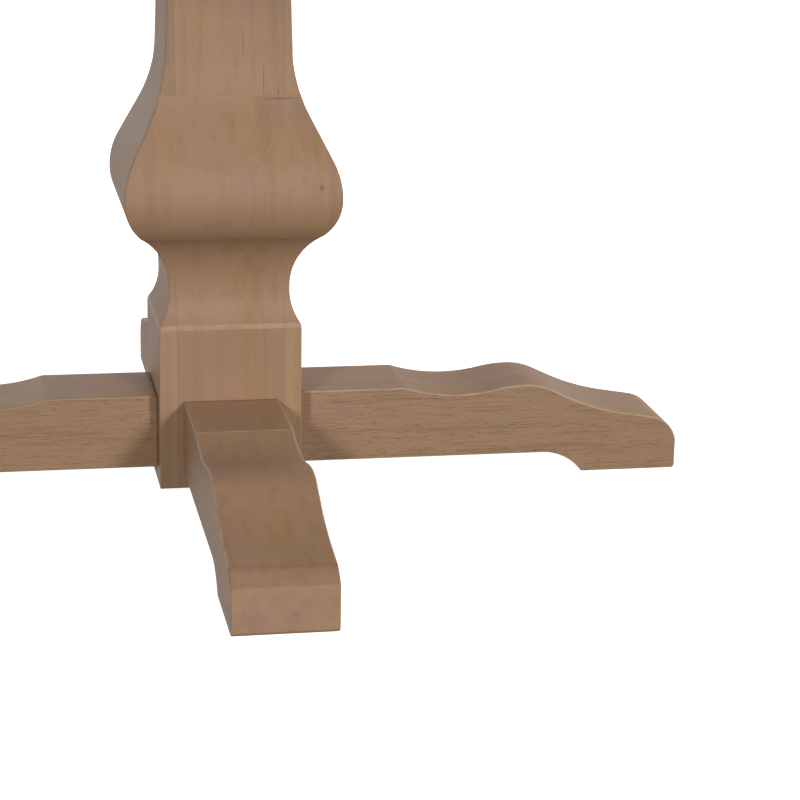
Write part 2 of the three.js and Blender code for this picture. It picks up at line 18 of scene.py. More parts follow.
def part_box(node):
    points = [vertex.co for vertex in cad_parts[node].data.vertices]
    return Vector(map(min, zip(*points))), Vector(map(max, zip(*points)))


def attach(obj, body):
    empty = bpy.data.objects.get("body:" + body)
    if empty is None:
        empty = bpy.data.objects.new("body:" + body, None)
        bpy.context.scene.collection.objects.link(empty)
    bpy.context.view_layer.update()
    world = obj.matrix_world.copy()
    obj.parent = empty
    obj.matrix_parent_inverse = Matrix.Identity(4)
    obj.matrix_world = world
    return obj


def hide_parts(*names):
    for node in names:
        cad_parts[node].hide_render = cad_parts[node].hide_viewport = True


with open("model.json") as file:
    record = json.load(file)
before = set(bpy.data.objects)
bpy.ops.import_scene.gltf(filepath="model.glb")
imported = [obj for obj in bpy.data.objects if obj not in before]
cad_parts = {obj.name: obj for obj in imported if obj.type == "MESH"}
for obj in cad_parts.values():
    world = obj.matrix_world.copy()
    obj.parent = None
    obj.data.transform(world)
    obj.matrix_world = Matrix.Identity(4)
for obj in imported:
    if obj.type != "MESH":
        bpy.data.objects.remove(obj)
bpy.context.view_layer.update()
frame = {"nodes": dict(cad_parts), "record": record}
nodes = frame["nodes"]

MM = 0.001
SIDES = {"front": 0, "right": 1, "back": 2, "left": 3}
UP = Vector((0, 0, 1))
RIGHT = Vector((1, 0, 0))
FRONT = Vector((0, -1, 0))
BACK = Vector((0, 1, 0))
BODY = "table"

# ---------------------------------------------------------------- sizes from the frame

front_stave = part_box("front_stave")
COLUMN_BOTTOM = front_stave[0].z
COLUMN_TOP = front_stave[1].z
BLANK_HALF = -front_stave[0].y
HOLLOW_HALF = -front_stave[1].y
FRONT_STAVE_HALF = front_stave[1].x
BULB_HALF = -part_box("front_bulb_block")[0].y

front_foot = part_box("front_foot")
FOOT_HALF = front_foot[1].x
FOOT_HEEL = -front_foot[1].y
TOE_REACH = -front_foot[0].y
PAD_BOTTOM = front_foot[0].z
FOOT_TOP = front_foot[1].z

top_low, top_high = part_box("top_board_5")
TOP_RADIUS = top_high.x
TOP_UNDERSIDE = top_low.z
TABLE_HEIGHT = top_high.z

# ---------------------------------------------------------------- mouldings

# Column, as half widths and heights above the floor
PLINTH_TOP = 184.3 * MM
NECK_HALF = 64.5 * MM
LOWER_COVE_RADIUS = 61 * MM
UPPER_COVE_START = 225 * MM
UPPER_COVE_RADIUS = 72 * MM
ARRIS_HEIGHT = 284 * MM
BULB_HEIGHT = 326 * MM
BULB_SEAT_HALF = 73.8 * MM
SHOULDER_RADIUS = 89 * MM
SHOULDER_SLOPE = math.radians(26.6)
SHOULDER_TOP = 408.3 * MM
SWEEP_RADIUS = 160 * MM
SHAFT_SLOPE = math.radians(1.8)
SHAFT_TOP = 600 * MM
HEAD_COVE_RADIUS = 50 * MM

# Foot, as distances from the column's middle and heights above the floor
FOOT_UNDERSIDE = 24 * MM
FOOT_FLAT_END = 195 * MM
HOLLOW_PLACE = 255 * MM
HOLLOW_HEIGHT = 94.4 * MM
CREST_PLACE = 331 * MM
CREST_HEIGHT = 103 * MM
CREST_FRONT_RADIUS = 70 * MM
DROP_SLOPE = math.radians(25.5)
DROP_START = 378 * MM
INSTEP_RADIUS = 252 * MM
TOE_SLOPE = math.radians(9.5)
TOE_RADIUS = 35 * MM
TOE_CORNER = math.radians(12)
TOE_EASE = 4 * MM
ARCH_END = 352 * MM
ARCH_RADIUS = 56 * MM

# Toe of the front foot, which is planed to a slope
PLANED_SLOPE = math.radians(36)
PLANED_EDGE = 47 * MM
PLANED_BEND_RADIUS = 22 * MM
PLANED_EASE = 0.8 * MM

# Where a foot gets painted light and shade: the middle of an area and how far it reaches
END_MIDDLE = 25 * MM
END_REACH = 6 * MM
SLOPE_PLACE = 493 * MM
SLOPE_MIDDLE = 57 * MM
SLOPE_REACH = 18 * MM
JOINT_SHADE = 5 * MM

# Top
TOP_EDGE_RADIUS = 6 * MM
TOP_BEVEL_WIDTH = 24 * MM
TOP_BEVEL_HEIGHT = 12 * MM

# Joints and eased edges. The middle of an eased arris is a share of its easing in from the corner.
GLUE_GAP = 0.03 * MM
FOOT_EASE = 1.7 * MM
ARRIS_EASE = 1.3 * MM
ARRIS_MIDDLE = 0.3
BOARD_EASE = 0.2 * MM
CREASE_EASE = 1.2 * MM
PLINTH_EASE = 2.8 * MM
RIDGE_EASE = 1.5 * MM
BORE_CLEARANCE = 0.3 * MM

# Material slots of a wooden piece. The second is for pale edges, partly wear and partly painted
# highlight; SHADED holds painted shade, END painted light and SLOPE painted shade.
PLAIN = 0
RUBBED_AND_LIT = 1
SIDE = 2
SHADED = 3
END = 4
SLOPE = 5

# How fine the meshes are: the rim of the top takes every fourth point of its arc
ARC_STEP = math.radians(2.5)
RIM_STEP = 4
BOARD_END_STEPS = 24
BORE_SIDES = 48
BEVEL_SEGMENTS = 3

# Limits for the edges and faces of a mesh
THINNEST = 0.02 * MM
WELD_DISTANCE = 0.01 * MM
FLAT_ANGLE = math.radians(1)
SHARP_ANGLE = math.radians(7)
BEVEL_ANGLE = math.radians(40)
FACING = 0.3


# ---------------------------------------------------------------- outlines

def point_at(centre, radius, angle):
    return centre + radius * Vector((math.cos(angle), math.sin(angle)))


def arc_between(centre, start, end):
    """Points along the shorter arc about centre, both ends included."""
    radius = (start - centre).length
    first = math.atan2(start.y - centre.y, start.x - centre.x)
    last = math.atan2(end.y - centre.y, end.x - centre.x)
    sweep = (last - first + math.pi) % math.tau - math.pi
    steps = max(2, math.ceil(abs(sweep) / ARC_STEP))
    inner = [point_at(centre, radius, first + sweep * step / steps) for step in range(1, steps)]
    return [start, *inner, end]


def eased_corner(before, corner, after, reach):
    """Three points that round a corner off, starting reach before it and ending reach after it."""
    start = corner + reach * (before - corner).normalized()
    end = corner + reach * (after - corner).normalized()
    return [start, (start + 2 * corner + end) / 4, end]


def column_profile():
    """The column's outline from bottom to top, as (half width, height)."""
    cove_x = NECK_HALF + LOWER_COVE_RADIUS
    cove_rise = math.sqrt(LOWER_COVE_RADIUS ** 2 - (cove_x - BLANK_HALF) ** 2)
    lower_cove = Vector((cove_x, PLINTH_TOP + cove_rise))
    upper_cove = Vector((NECK_HALF + UPPER_COVE_RADIUS, UPPER_COVE_START))
    arris_rise = ARRIS_HEIGHT - UPPER_COVE_START
    arris = Vector((upper_cove.x - math.sqrt(UPPER_COVE_RADIUS ** 2 - arris_rise ** 2), ARRIS_HEIGHT))

    bulb = Vector((BULB_HALF, BULB_HEIGHT))
    step = bulb - arris
    bulb_centre = bulb - Vector((step.length_squared / (2 * step.x), 0))
    shoulder_centre = bulb - Vector((SHOULDER_RADIUS, 0))
    shoulder = point_at(shoulder_centre, SHOULDER_RADIUS, SHOULDER_SLOPE)

    rise = SHOULDER_TOP - shoulder.y
    taper_top = Vector((shoulder.x - math.tan(SHOULDER_SLOPE) * rise, SHOULDER_TOP))
    sweep_centre = point_at(taper_top, SWEEP_RADIUS, SHOULDER_SLOPE)
    shaft_bottom = point_at(sweep_centre, SWEEP_RADIUS, math.pi + SHAFT_SLOPE)
    rise = SHAFT_TOP - shaft_bottom.y
    shaft_top = Vector((shaft_bottom.x - math.tan(SHAFT_SLOPE) * rise, SHAFT_TOP))
    head_cove = shaft_top + Vector((HEAD_COVE_RADIUS, 0))
    head_rise = math.sqrt(HEAD_COVE_RADIUS ** 2 - (head_cove.x - BLANK_HALF) ** 2)

    bottom = Vector((BLANK_HALF, COLUMN_BOTTOM))
    cove = arc_between(lower_cove, Vector((BLANK_HALF, PLINTH_TOP)), Vector((NECK_HALF, lower_cove.y)))
    quirk = arc_between(upper_cove, Vector((NECK_HALF, UPPER_COVE_START)), arris)
    belly = arc_between(bulb_centre, arris, bulb)
    return [
        bottom,
        *eased_corner(bottom, cove[0], cove[2], PLINTH_EASE),
        *cove[2:],
        *quirk[:-1],
        *eased_corner(quirk[-2], arris, belly[1], CREASE_EASE),
        *belly[1:],
        *arc_between(shoulder_centre, bulb, shoulder)[1:],
        *arc_between(sweep_centre, taper_top, shaft_bottom),
        *arc_between(head_cove, shaft_top, Vector((BLANK_HALF, SHAFT_TOP + head_rise))),
        Vector((BLANK_HALF, COLUMN_TOP)),
    ]


def split_profile(profile, limit):
    """The same outline with a point added wherever it passes through the half width limit."""
    points = [profile[0]]
    for low, high in zip(profile, profile[1:]):
        if (low.x - limit) * (high.x - limit) < 0:
            points.append(low.lerp(high, (limit - low.x) / (high.x - low.x)))
        points.append(high)
    return points


def stave_profile():
    """The staves' outline: the column's, planed back where the blocks of the bulb are glued on."""
    return [
        Vector((min(p, BULB_SEAT_HALF), z)) if UPPER_COVE_START < z < SHAFT_TOP else Vector((p, z))
        for p, z in split_profile(column_profile(), BULB_SEAT_HALF)
    ]


def round_toe(instep_end):
    """The toe of the right, back and left feet: one rounding from the upright end to the instep."""
    toe_x = TOE_REACH - TOE_RADIUS * math.cos(TOE_CORNER)
    toe_line = instep_end.y - math.tan(TOE_SLOPE) * (toe_x - instep_end.x)
    centre = Vector((toe_x, toe_line - TOE_RADIUS / math.cos(TOE_SLOPE)))
    return arc_between(
        centre,
        point_at(centre, TOE_RADIUS, TOE_CORNER),
        point_at(centre, TOE_RADIUS, math.pi / 2 - TOE_SLOPE),
    )


def planed_toe(instep_end):
    """The toe of the front foot: a planed slope between a crisp edge and a soft bend."""
    edge = Vector((TOE_REACH, PLANED_EDGE))
    steep, gentle = math.tan(PLANED_SLOPE), math.tan(TOE_SLOPE)
    bend_x = (edge.y + steep * edge.x - instep_end.y - gentle * instep_end.x) / (steep - gentle)
    bend = Vector((bend_x, edge.y + steep * (edge.x - bend_x)))
    reach = PLANED_BEND_RADIUS * math.tan((PLANED_SLOPE - TOE_SLOPE) / 2)
    low = bend + reach * (edge - bend).normalized()
    high = bend + reach * (instep_end - bend).normalized()
    centre = point_at(high, -PLANED_BEND_RADIUS, math.pi / 2 - TOE_SLOPE)
    return [
        *eased_corner(Vector((TOE_REACH, PAD_BOTTOM)), edge, low, PLANED_EASE),
        *arc_between(centre, low, high),
    ]


def foot_top_line(toe):
    """The top of a foot from the toe back to the end of the flat, as (distance, height)."""
    crest = Vector((CREST_PLACE, CREST_HEIGHT))
    crest_front = crest - Vector((0, CREST_FRONT_RADIUS))
    crest_end = point_at(crest_front, CREST_FRONT_RADIUS, math.pi / 2 - DROP_SLOPE)
    drop = math.tan(DROP_SLOPE) * (DROP_START - crest_end.x)
    drop_start = Vector((DROP_START, crest_end.y - drop))
    instep_centre = point_at(drop_start, INSTEP_RADIUS, math.pi / 2 - DROP_SLOPE)
    instep_end = point_at(instep_centre, INSTEP_RADIUS, 1.5 * math.pi - TOE_SLOPE)

    # The arc behind the crest is the one that meets the hollow's arc without a corner.
    flat_end = Vector((FOOT_FLAT_END, FOOT_TOP))
    depth = FOOT_TOP - HOLLOW_HEIGHT
    hollow_radius = ((HOLLOW_PLACE - FOOT_FLAT_END) ** 2 + depth ** 2) / (2 * depth)
    hollow_centre = Vector((HOLLOW_PLACE, HOLLOW_HEIGHT + hollow_radius))
    across = CREST_PLACE - HOLLOW_PLACE
    down = hollow_centre.y - CREST_HEIGHT
    back_radius = (across ** 2 + down ** 2 - hollow_radius ** 2) / (2 * (hollow_radius - down))
    crest_back = crest - Vector((0, back_radius))
    meeting = hollow_centre.lerp(crest_back, hollow_radius / (hollow_radius + back_radius))

    hollow = arc_between(hollow_centre, meeting, flat_end)[1:]
    return [
        *toe(instep_end),
        *arc_between(instep_centre, instep_end, drop_start),
        *arc_between(crest_front, crest_end, crest),
        *arc_between(crest_back, crest, meeting)[1:],
        *hollow[:-1],
        *eased_corner(hollow[-2], flat_end, Vector((FOOT_HEEL, FOOT_TOP)), RIDGE_EASE),
    ]


def foot_outline(toe):
    """A foot's side outline, as (distance from the column's middle, height), with its own toe."""
    arch_centre = Vector((ARCH_END, FOOT_UNDERSIDE - ARCH_RADIUS))
    arch_reach = math.sqrt(ARCH_RADIUS ** 2 - (PAD_BOTTOM - arch_centre.y) ** 2)
    ease_centre = Vector((TOE_REACH - TOE_EASE, PAD_BOTTOM + TOE_EASE))
    ease_start = point_at(ease_centre, TOE_EASE, 1.5 * math.pi)
    ease_end = point_at(ease_centre, TOE_EASE, 0)
    return [
        Vector((FOOT_HEEL, FOOT_UNDERSIDE)),
        *arc_between(
            arch_centre,
            Vector((ARCH_END, FOOT_UNDERSIDE)),
            Vector((ARCH_END + arch_reach, PAD_BOTTOM)),
        ),
        *arc_between(ease_centre, ease_start, ease_end),
        *foot_top_line(toe),
        # A narrow strip at the heel, which takes the painted shade where the foot meets the column
        Vector((FOOT_HEEL + JOINT_SHADE, FOOT_TOP)),
        Vector((FOOT_HEEL, FOOT_TOP)),
    ]


# ---------------------------------------------------------------- mesh helpers

def turn(quarters):
    return Matrix.Rotation(quarters * math.pi / 2, 4, "Z")


def new_object(name, bm, materials=()):
    bmesh.ops.recalc_face_normals(bm, faces=bm.faces)
    mesh = bpy.data.meshes.new(name)
    bm.to_mesh(mesh)
    bm.free()
    for material in materials:
        mesh.materials.append(material)
    obj = bpy.data.objects.new(name, mesh)
    bpy.context.scene.collection.objects.link(obj)
    return obj


def loft(name, loops, materials):
    """A closed solid through loops that have the same number of points, with flat ends."""
    bm = bmesh.new()
    rings = [[bm.verts.new(co) for co in loop] for loop in loops]
    for low, high in zip(rings, rings[1:]):
        for i in range(len(low)):
            j = (i + 1) % len(low)
            bm.faces.new((low[i], low[j], high[j], high[i]))
    bm.faces.new(reversed(rings[0]))
    bm.faces.new(rings[-1])
    return new_object(name, bm, materials)


def apply_modifiers(obj):
    evaluated = obj.evaluated_get(bpy.context.evaluated_depsgraph_get())
    mesh = bpy.data.meshes.new_from_object(evaluated)
    obj.modifiers.clear()
    obj.data = mesh


def ease_edges(obj, width):
    """Rounds every edge sharper than BEVEL_ANGLE. The rounding gets the slot for pale edges, partly wear
    and partly painted highlight.
    """
    bevel = obj.modifiers.new("ease", "BEVEL")
    bevel.width = width
    bevel.segments = BEVEL_SEGMENTS
    bevel.limit_method = "ANGLE"
    bevel.angle_limit = BEVEL_ANGLE
    bevel.use_clamp_overlap = True
    bevel.material = RUBBED_AND_LIT
    apply_modifiers(obj)


def bore_cutter(node, clearance):
    """A round cutter slightly larger than the CAD node that lies in the bore."""
    low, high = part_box(node)
    size = high - low
    axis = max(range(3), key=lambda k: size[k])
    radius = max(size[k] for k in range(3) if k != axis) / 2 + clearance
    bm = bmesh.new()
    bmesh.ops.create_cone(
        bm,
        cap_ends=True,
        segments=BORE_SIDES,
        radius1=radius,
        radius2=radius,
        depth=size[axis] + 2 * clearance,
    )
    direction = Vector((0, 0, 0))
    direction[axis] = 1
    turned = UP.rotation_difference(direction).to_matrix().to_4x4()
    bm.transform(Matrix.Translation((low + high) / 2) @ turned)
    return new_object("cutter", bm)


def drill(obj, cutters):
    for cutter in cutters:
        boolean = obj.modifiers.new("drill", "BOOLEAN")
        boolean.object = cutter
        boolean.operation = "DIFFERENCE"
        boolean.solver = "EXACT"
    apply_modifiers(obj)
    for cutter in cutters:
        bpy.data.objects.remove(cutter)


class Grain:
    """How a board lies: its grain runs along one direction, and each board has its own shift.

    The shift picks a stretch of the tree, and sets its heart at least 30 mm off the frame's origin.
    """

    def __init__(self, along, across, seed):
        self.rows = Matrix((along, across, along.cross(across)))
        draw = random.Random(seed)
        self.shift = Vector((3 * draw.randint(0, 40), draw.uniform(-0.02, 0.02), draw.uniform(0.03, 0.08)))

    def at(self, place):
        return self.rows @ Vector(place) + self.shift

    def write(self, mesh):
        """Stores the grain coordinates of every vertex, for the wood materials to read."""
        attribute = mesh.attributes.new("grain", "FLOAT_VECTOR", "POINT")
        for vertex in mesh.vertices:
            attribute.data[vertex.index].vector = self.at(vertex.co)


def paint_line(obj, slot, reach, place, height):
    """Gives one of the piece's materials to the small faces near a line round the column."""
    line = Vector((place, height))
    for polygon in obj.data.polygons:
        centre = polygon.center
        if (Vector((max(abs(centre.x), abs(centre.y)), centre.z)) - line).length < reach:
            polygon.material_index = slot


def paint_sides(obj, slot, facing, below):
    """Gives one of the piece's materials to the plain faces that look along or against facing.

    Only faces whose middle is below a height are painted.
    """
    for polygon in obj.data.polygons:
        faces_it = abs(polygon.normal.dot(facing)) > FACING and polygon.center.z < below
        if faces_it and polygon.material_index == PLAIN:
            polygon.material_index = slot


def finish_piece(obj, node, grain):
    """Smooths a finished piece, gives it its grain, and stands it in for its CAD node."""
    grain.write(obj.data)
    for polygon in obj.data.polygons:
        polygon.use_smooth = True
    obj.data.set_sharp_from_angle(angle=SHARP_ANGLE)
    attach(obj, BODY)
    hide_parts(node)


# ---------------------------------------------------------------- shader helpers

# Sockets of the mix node, by number
MIX_FACTOR = 0
MIX_FIRST_COLOUR = 6
MIX_SECOND_COLOUR = 7
MIX_COLOUR = 2

# Growth rings: how they wander and bend along, across and in, their stretch, and how close they lie
RING_WANDER = (1.5, 8.0, 8.0)
RING_BEND = (0.0, 0.03, 0.03)
RING_STRETCH = (0.3, 1.0, 1.0)
RING_SCALE = 22.0

# A small mark is at its full strength out to this share of its reach
MARK_CORE = 0.35
MARK_STRENGTH = 0.75

# How far roughness goes from its lowest to its highest on one surface
ROUGHNESS_SPREAD = 0.2


class Shader:
    """A material's node tree, built one node at a time."""

    def __init__(self, name):
        self.material = bpy.data.materials.new(name)
        self.material.use_nodes = True
        self.tree = self.material.node_tree
        self.surface = self.tree.nodes["Principled BSDF"]

    def node(self, kind, inputs=None, **settings):
        node = self.tree.nodes.new("ShaderNode" + kind)
        for setting, value in settings.items():
            setattr(node, setting, value)
        for socket, value in (inputs or {}).items():
            self.put(node.inputs[socket], value)
        return node

    def put(self, socket, value):
        if isinstance(value, bpy.types.NodeSocket):
            self.tree.links.new(value, socket)
        else:
            socket.default_value = value

    def set(self, socket, value):
        self.put(self.surface.inputs[socket], value)

    def scaled(self, vector, scale):
        return self.node("Mapping", {"Vector": vector, "Scale": scale}).outputs["Vector"]

    def noise(self, vector, scale, detail=2.0, roughness=0.5):
        """Soft noise from 0 to 1, with about scale features per metre along each axis."""
        inputs = {"Vector": self.scaled(vector, scale), "Scale": 1.0}
        inputs.update({"Detail": detail, "Roughness": roughness})
        return self.node("TexNoise", inputs).outputs["Fac"]

    def ramp(self, value, stops):
        """A colour or grey ramp: stops are (place, grey or colour)."""
        node = self.node("ValToRGB", {"Fac": value})
        elements = node.color_ramp.elements
        while len(elements) < len(stops):
            elements.new(0.5)
        for element, (place, colour) in zip(elements, stops):
            element.position = place
            element.color = (*colour, 1) if isinstance(colour, tuple) else (colour, colour, colour, 1)
        return node.outputs["Color"]

    def mix(self, factor, first, second, mode="MIX"):
        """A mix of two colours. Its sockets go by number, as their names repeat for other values."""
        node = self.node("Mix", data_type="RGBA", blend_type=mode, clamp_result=True)
        self.put(node.inputs[MIX_FACTOR], factor)
        self.put(node.inputs[MIX_FIRST_COLOUR], first)
        self.put(node.inputs[MIX_SECOND_COLOUR], second)
        return node.outputs[MIX_COLOUR]

    def math(self, operation, first, second):
        node = self.node("Math", operation=operation)
        self.put(node.inputs[0], first)
        self.put(node.inputs[1], second)
        return node.outputs["Value"]

    def vector(self, operation, first, second):
        return self.node("VectorMath", {0: first, 1: second}, operation=operation).outputs["Vector"]

    def rings(self, grain):
        """Growth rings round the grain, bent a little along the board: 0 to 1 across each ring."""
        wander = self.node("TexNoise", {"Vector": self.scaled(grain, RING_WANDER), "Scale": 1.0})
        bend = self.vector("MULTIPLY", wander.outputs["Color"], RING_BEND)
        bent = self.vector("ADD", grain, bend)
        inputs = {"Vector": self.scaled(bent, RING_STRETCH), "Scale": RING_SCALE}
        rings = self.node("TexWave", inputs, wave_type="RINGS", rings_direction="X", wave_profile="SAW")
        return rings.outputs["Fac"]

    def mark(self, grain, place, reach):
        """Strongest at the middle of a small mark, and 0 past its reach along the grain, across and in."""
        offset = self.vector("SUBTRACT", grain, place)
        scaled = self.vector("MULTIPLY", offset, tuple(1 / length for length in reach))
        distance = self.node("VectorMath", {0: scaled}, operation="LENGTH").outputs["Value"]
        return self.ramp(distance, [(MARK_CORE, MARK_STRENGTH), (1.0, 0.0)])

    def vary_roughness(self, noise, middle):
        """Roughness that follows a noise from 0 to 1, to either side of its middle value."""
        spread = self.math("MULTIPLY", noise, ROUGHNESS_SPREAD)
        self.set("Roughness", self.math("ADD", spread, middle - ROUGHNESS_SPREAD / 2))

    def bump(self, height, distance, strength):
        inputs = {"Height": height, "Distance": distance, "Strength": strength}
        self.set("Normal", self.node("Bump", inputs).outputs["Normal"])


def rgba(colour, strength=1.0):
    return (*(strength * channel for channel in colour), 1.0)


# ---------------------------------------------------------------- materials

# Colours of the stained and bare wood, of the painted light and shade on the feet, and of the hardware
STAIN = (0.356, 0.2165, 0.128)
PALE_STAIN = (0.405, 0.258, 0.151)
# Painted shade: a darker colour for the planed slope of the front toe
PAINTED_SLOPE_SHADE = (0.322, 0.190, 0.119)
# Painted light: a paler colour for the upright end of the toe
PAINTED_END_LIGHT = (0.374, 0.228, 0.141)
# Flank colour: the stain, made a little paler as painted light
SIDE_STAIN_AND_LIGHT = (0.371, 0.225, 0.132)
# Painted shade: dark colour on the foot's top next to the column, where shade falls
PAINTED_JOINT_SHADE = (0.215, 0.120, 0.066)
# Pale edge colour: partly wear, partly a painted highlight
WORN_AND_LIT_EDGE = (0.50, 0.34, 0.225)
BARE_WOOD = (0.52, 0.38, 0.245)
YELLOW_TINT = (1.0, 1.0, 0.86)
PINK_TINT = (0.98, 0.94, 1.0)
ZINC = (0.62, 0.63, 0.65)
DARK_NYLON = (0.045, 0.036, 0.030)

# How much of the colour is left in a pore and in a dark flaw
PORE_SHADE = 0.3
MARK_SHADE = 0.4

WOOD_ROUGHNESS = 0.58
EDGE_ROUGHNESS = 0.52
WOOD_IOR = 1.42

# Noises of the wood, as features per metre along the grain, across and in
CLOUDS = (2.6, 14.0, 14.0)
TINT = (3.2, 26.0, 26.0)
STREAKS = (1.1, 95.0, 95.0)
FIBRES = (22.0, 800.0, 800.0)
OPEN_PORES = (110.0, 1400.0, 1400.0)
BOARD_TONE = (0.37, 0.0, 0.0)
# Patches of the pale edges, which are partly wear and partly a painted highlight
RUBBED_AND_LIT_PATCHES = (60.0, 60.0, 60.0)

# Dark flaws in the column: the middle of each, and its reach up, across and in
FLAWS = {
    "front_bulb_block": {
        "pin knot": ((90.7 * MM, -112.6 * MM, 339.5 * MM), (4.3 * MM, 3.2 * MM, 3.2 * MM)),
        "open glue line": ((52 * MM, -74 * MM, 427 * MM), (1.1 * MM, 25 * MM, 6 * MM)),
        "pore line": ((0.6 * MM, -82 * MM, 398 * MM), (13 * MM, 0.8 * MM, 8 * MM)),
    },
    "front_stave": {
        "check": ((35 * MM, -71.5 * MM, 449 * MM), (25 * MM, 0.9 * MM, 6 * MM)),
        "pore line": ((14 * MM, -68 * MM, 486 * MM), (20 * MM, 0.8 * MM, 6 * MM)),
        "short pore line": ((50 * MM, -73 * MM, 433 * MM), (5 * MM, 0.8 * MM, 4 * MM)),
    },
}


def wood(name, colour, fibre, pores, roughness=WOOD_ROUGHNESS, wear_and_highlight=0.0, varied=0.0, marks=()):
    """Stained hardwood along the grain: clouds, streaks, growth lines, fibres and short open pores.

    Fibre and pores are their contrasts, and the setting for pale edges says how pale an edge gets:
    partly wear, partly a painted highlight. Varied is how much one board differs from the next, and
    marks are small dark flaws, each a place and its reach. The layers are factors on the stain.
    """
    shader = Shader(name)
    grain = shader.node("Attribute", attribute_name="grain").outputs["Vector"]
    clouds = shader.noise(grain, CLOUDS, detail=3.0)
    tint = shader.noise(grain, TINT, detail=1.0)
    streaks = shader.noise(grain, STREAKS)
    fibres = shader.noise(grain, FIBRES, roughness=0.6)
    open_pores = shader.noise(grain, OPEN_PORES, detail=1.0)
    rings = shader.rings(grain)

    layers = [
        shader.ramp(clouds, [(0.30, 0.86), (0.50, 1.0), (0.72, 1.13)]),
        shader.ramp(tint, [(0.35, YELLOW_TINT), (0.65, PINK_TINT)]),
        shader.ramp(streaks, [(0.30, 0.93), (0.70, 1.06)]),
        shader.ramp(rings, [(0.0, 1.0), (0.80, 1.01), (0.95, 0.955), (1.0, 1.0)]),
        shader.ramp(fibres, [(0.30, 1.0 - fibre), (0.70, 1.0 + fibre)]),
    ]
    if varied:
        board = shader.noise(grain, BOARD_TONE, detail=0.0)
        layers.append(shader.ramp(board, [(0.30, 1.0 - varied), (0.70, 1.0 + varied)]))
    tone = layers[0]
    for layer in layers[1:]:
        tone = shader.mix(1.0, tone, layer, "MULTIPLY")
    stain = shader.mix(1.0, rgba(colour), tone, "MULTIPLY")

    pore_height = shader.math("ADD", open_pores, shader.math("MULTIPLY", streaks, -0.25))
    pore_mask = shader.math("MULTIPLY", shader.ramp(pore_height, [(0.48, 0.0), (0.60, 1.0)]), pores)
    stain = shader.mix(pore_mask, stain, rgba(colour, PORE_SHADE))
    for place, reach in marks:
        stain = shader.mix(shader.mark(grain, place, reach), stain, rgba(colour, MARK_SHADE))
    if wear_and_highlight:
        # Pale patches on edges: partly wear, partly a painted highlight
        patches = shader.noise(grain, RUBBED_AND_LIT_PATCHES)
        rubbed_and_lit = shader.ramp(patches, [(0.36, 0.4 * wear_and_highlight), (0.64, wear_and_highlight)])
        stain = shader.mix(rubbed_and_lit, stain, rgba(WORN_AND_LIT_EDGE))
    shader.set("Base Color", stain)
    shader.vary_roughness(fibres, roughness)
    shader.set("IOR", WOOD_IOR)
    height = shader.math("SUBTRACT", shader.math("MULTIPLY", fibres, 0.3), pore_mask)
    shader.bump(height, distance=0.1 * MM, strength=0.5)
    return shader.material


def metal(name, colour, roughness):
    """Bright zinc plate: slightly cloudy, with fine scratches."""
    shader = Shader(name)
    place = shader.node("TexCoord").outputs["Object"]
    cloud = shader.noise(place, (160.0, 160.0, 160.0), detail=3.0)
    scratch = shader.noise(place, (2400.0, 300.0, 900.0), detail=2.0)
    shader.set("Base Color", shader.mix(cloud, rgba(colour, 0.82), rgba(colour)))
    shader.set("Metallic", 1.0)
    shader.vary_roughness(scratch, roughness)
    shader.bump(scratch, distance=0.03 * MM, strength=0.4)
    return shader.material


def plastic(name, colour, roughness):
    """Moulded nylon with a fine spark-eroded surface."""
    shader = Shader(name)
    place = shader.node("TexCoord").outputs["Object"]
    cloud = shader.noise(place, (90.0, 90.0, 90.0), detail=2.0)
    speckle = shader.noise(place, (3200.0, 3200.0, 3200.0), detail=1.0)
    shader.set("Base Color", shader.mix(cloud, rgba(colour, 0.8), rgba(colour)))
    shader.vary_roughness(speckle, roughness)
    shader.bump(speckle, distance=0.02 * MM, strength=0.5)
    return shader.material


column_wood = wood("column_wood", STAIN, fibre=0.06, pores=0.2)
# Edge materials: their pale patches are partly wear and partly a painted highlight
column_edge = wood("column_wood_edge", STAIN, fibre=0.06, pores=0.1, roughness=EDGE_ROUGHNESS, wear_and_highlight=0.5)
board_side = wood("column_board_side", PALE_STAIN, fibre=0.06, pores=0.2)
foot_wood = wood("foot_wood", STAIN, fibre=0.1, pores=0.25)
# Flanks: more open grain, and a paler colour that is painted light
foot_side = wood("foot_wood_side", SIDE_STAIN_AND_LIGHT, fibre=0.24, pores=0.65)
# Painted light on the toe's upright end, which is paler than the rest of the foot
lit_foot_end = wood("foot_wood_end_painted_light", PAINTED_END_LIGHT, fibre=0.1, pores=0.25)
# Painted shade on the front toe's planed slope
shaded_foot_slope = wood("foot_wood_slope_painted_shade", PAINTED_SLOPE_SHADE, fibre=0.1, pores=0.25)
foot_edge = wood("foot_wood_edge", STAIN, fibre=0.06, pores=0.2, roughness=EDGE_ROUGHNESS, wear_and_highlight=0.3)
rubbed_and_lit_foot_edge = wood(
    "foot_wood_rubbed_and_lit_edge", STAIN, fibre=0.06, pores=0.2, roughness=EDGE_ROUGHNESS, wear_and_highlight=0.85
)
# Painted shade on the foot's top next to the column, not a stain
joint_shade_wood = wood("foot_wood_joint_shade", PAINTED_JOINT_SHADE, fibre=0.1, pores=0.2)
top_wood = wood("top_wood", STAIN, fibre=0.12, pores=0.5, roughness=0.8, varied=0.1)
inner_wood = wood("inner_wood", BARE_WOOD, fibre=0.08, pores=0.4, roughness=0.66)
steel = metal("zinc_steel", ZINC, roughness=0.36)
nylon = plastic("nylon", DARK_NYLON, roughness=0.5)


# ---------------------------------------------------------------- column

def mirrored(right, z):
    """A closed loop at height z from the points of its right half."""
    return [(x, y, z) for x, y in right] + [(-x, y, z) for x, y in reversed(right)]


